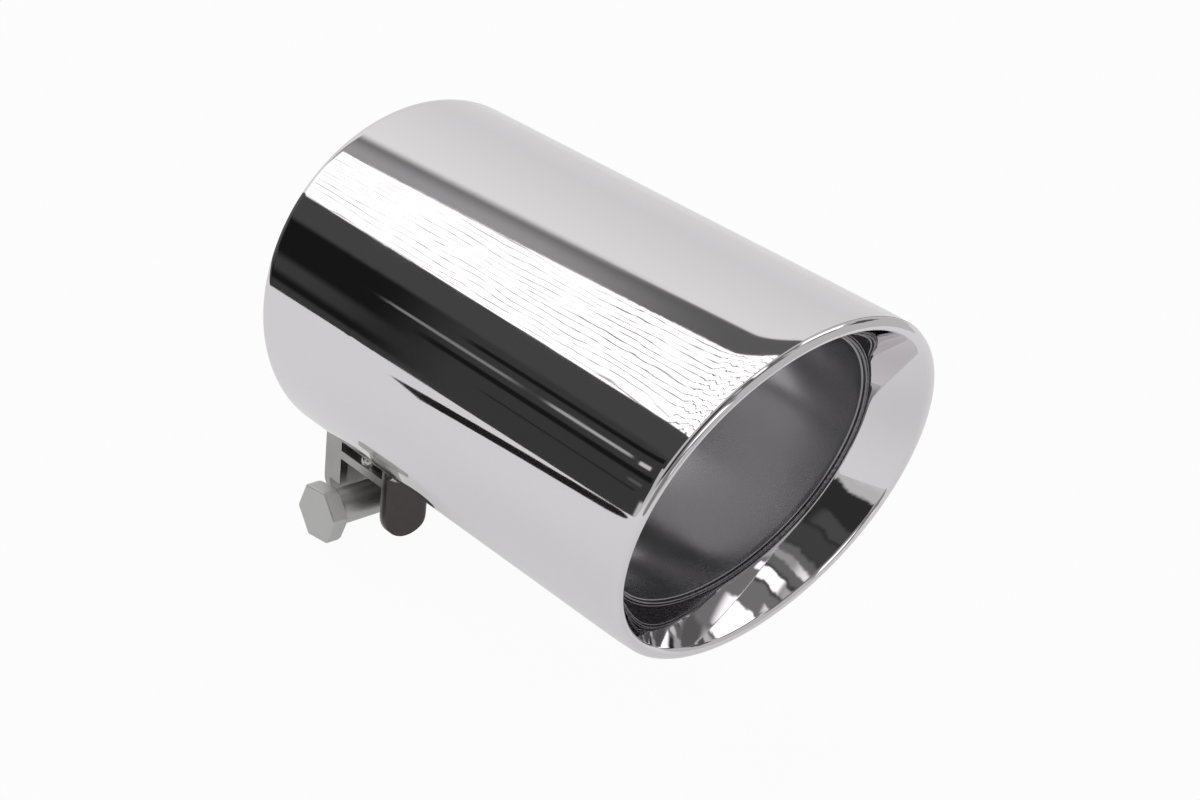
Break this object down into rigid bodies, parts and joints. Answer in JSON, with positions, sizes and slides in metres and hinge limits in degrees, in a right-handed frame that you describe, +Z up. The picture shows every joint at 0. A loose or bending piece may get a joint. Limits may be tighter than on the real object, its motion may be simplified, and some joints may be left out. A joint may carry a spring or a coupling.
{
  "type": "exhaust tip",
  "caption": "Slant-cut clamp-on exhaust tip: round polished shell with a rolled lip, a bevel and an inner sleeve, held on the tail pipe by a slit and a clamp bolt.",
  "frame": {"origin": "centre of the inlet mouth, on the tube's axis", "axes": "+Y along the tube's axis, out of the inlet; the outlet faces -Y; +Z up, with the clamp under the tube; the clamp bolt lies along X, head at -X"},
  "size_m": [0.08, 0.1244, 0.0955],
  "materials": {
    "polished_stainless": "mirror-polished stainless sheet with faint lengthwise buffing lines",
    "satin_stainless": "satin stainless tube, lightly brushed round its bore",
    "mill_stainless": "pressed stainless sheet, mill finish",
    "stainless_weld": "rippled weld metal",
    "zinc_plated_steel": "bright zinc plating, slightly dull"
  },
  "bodies": {
    "root": {"outer_shell": "polished_stainless", "inner_sleeve": "satin_stainless", "seam_weld": "stainless_weld", "centring_ring": "mill_stainless", "near_clamp_lug": "mill_stainless", "far_clamp_lug": "mill_stainless", "near_lug_weld": "stainless_weld", "far_lug_weld": "stainless_weld", "clamp_bolt": "zinc_plated_steel", "nut_washer": "zinc_plated_steel", "clamp_nut": "zinc_plated_steel"}
  },
  "joints": []
}
